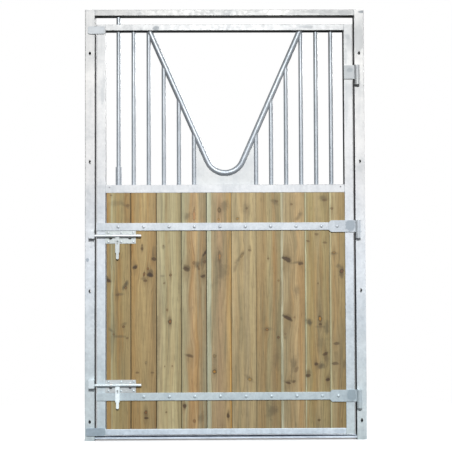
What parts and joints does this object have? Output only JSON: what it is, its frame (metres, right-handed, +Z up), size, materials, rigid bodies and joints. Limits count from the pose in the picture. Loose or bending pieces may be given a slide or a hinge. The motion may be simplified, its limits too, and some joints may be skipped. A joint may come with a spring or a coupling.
{
  "type": "stable gate",
  "caption": "Galvanised steel stable gate in its own tube frame, with a barred V opening over upright timber boards, pin hinges, sliding bolts and a lock rod.",
  "frame": {"origin": "back (wall) face of the hinge post, on the post's centre line, at ground level", "axes": "+X to the right seen from the front, -Y out of the front of the gate, +Z up"},
  "size_m": [1.4, 0.078, 2.15],
  "materials": {
    "galvanised_tube": "hot-dip galvanised, bright",
    "galvanised_bar": "hot-dip galvanised, smooth",
    "galvanised_plate": "hot-dip galvanised, dull zinc patches",
    "galvanised_sheet": "galvanised sheet with faint spangle",
    "zinc_fitting": "zinc plated, satin",
    "treated_pine": "pressure-treated pine, planed"
  },
  "bodies": {
    "frame": {"latch_post": "galvanised_tube", "hinge_post": "galvanised_tube", "head_rail": "galvanised_tube", "sill_bar": "galvanised_plate", "lower_hinge_pin": "galvanised_plate", "middle_hinge_pin": "galvanised_plate", "top_hinge_pin": "galvanised_plate", "upper_keeper": "zinc_fitting", "lower_keeper": "zinc_fitting"},
    "leaf": {"latch_stile": "galvanised_tube", "hinge_stile": "galvanised_tube", "top_rail": "galvanised_tube", "mid_rail": "galvanised_tube", "bottom_rail": "galvanised_tube", "v_tube": "galvanised_bar", "left_bar_1": "galvanised_bar", "left_bar_2": "galvanised_bar", "left_bar_3": "galvanised_bar", "left_bar_4": "galvanised_bar", "left_bar_5": "galvanised_bar", "right_bar_1": "galvanised_bar", "right_bar_2": "galvanised_bar", "right_bar_3": "galvanised_bar", "right_bar_4": "galvanised_bar", "right_bar_5": "galvanised_bar", "right_bar_6": "galvanised_bar", "gusset_sheet": "galvanised_sheet", "rod_sleeve": "galvanised_bar", "timber_infill": "treated_pine", "upper_strap": "galvanised_plate", "lower_strap": "galvanised_plate", "lower_hinge_plate": "galvanised_plate", "middle_hinge_plate": "galvanised_plate", "top_hinge_plate": "galvanised_plate", "upper_stop_plate": "galvanised_plate", "lower_stop_plate": "galvanised_plate", "upper_bolt_plate": "zinc_fitting", "lower_bolt_plate": "zinc_fitting"},
    "upper_bolt": {"upper_bolt_bar": "zinc_fitting"},
    "lower_bolt": {"lower_bolt_bar": "zinc_fitting"},
    "upper_handle": {"upper_bolt_handle": "zinc_fitting"},
    "lower_handle": {"lower_bolt_handle": "zinc_fitting"},
    "rod": {"lock_rod": "galvanised_bar"}
  },
  "joints": [
    {"name": "leaf_swing", "type": "hinge", "parent": "frame", "child": "leaf", "pos_m": [-0.013, -0.0635, 1.06], "axis": [0, 0, 1], "range_deg": [0, 170]},
    {"name": "upper_bolt_slide", "type": "slide", "parent": "leaf", "child": "upper_bolt", "axis": [1, 0, 0], "range_m": [-0.014, 0.044]},
    {"name": "lower_bolt_slide", "type": "slide", "parent": "leaf", "child": "lower_bolt", "axis": [1, 0, 0], "range_m": [-0.014, 0.044]},
    {"name": "upper_handle_lift", "type": "hinge", "parent": "upper_bolt", "child": "upper_handle", "pos_m": [-1.2115, -0.0625, 1.0155], "axis": [-1, 0, 0], "range_deg": [0, 100]},
    {"name": "lower_handle_lift", "type": "hinge", "parent": "lower_bolt", "child": "lower_handle", "pos_m": [-1.2115, -0.0625, 0.2765], "axis": [-1, 0, 0], "range_deg": [0, 100]},
    {"name": "lock_rod_slide", "type": "slide", "parent": "leaf", "child": "rod", "axis": [0, 0, -1], "range_m": [-0.02, 0.04]}
  ]
}
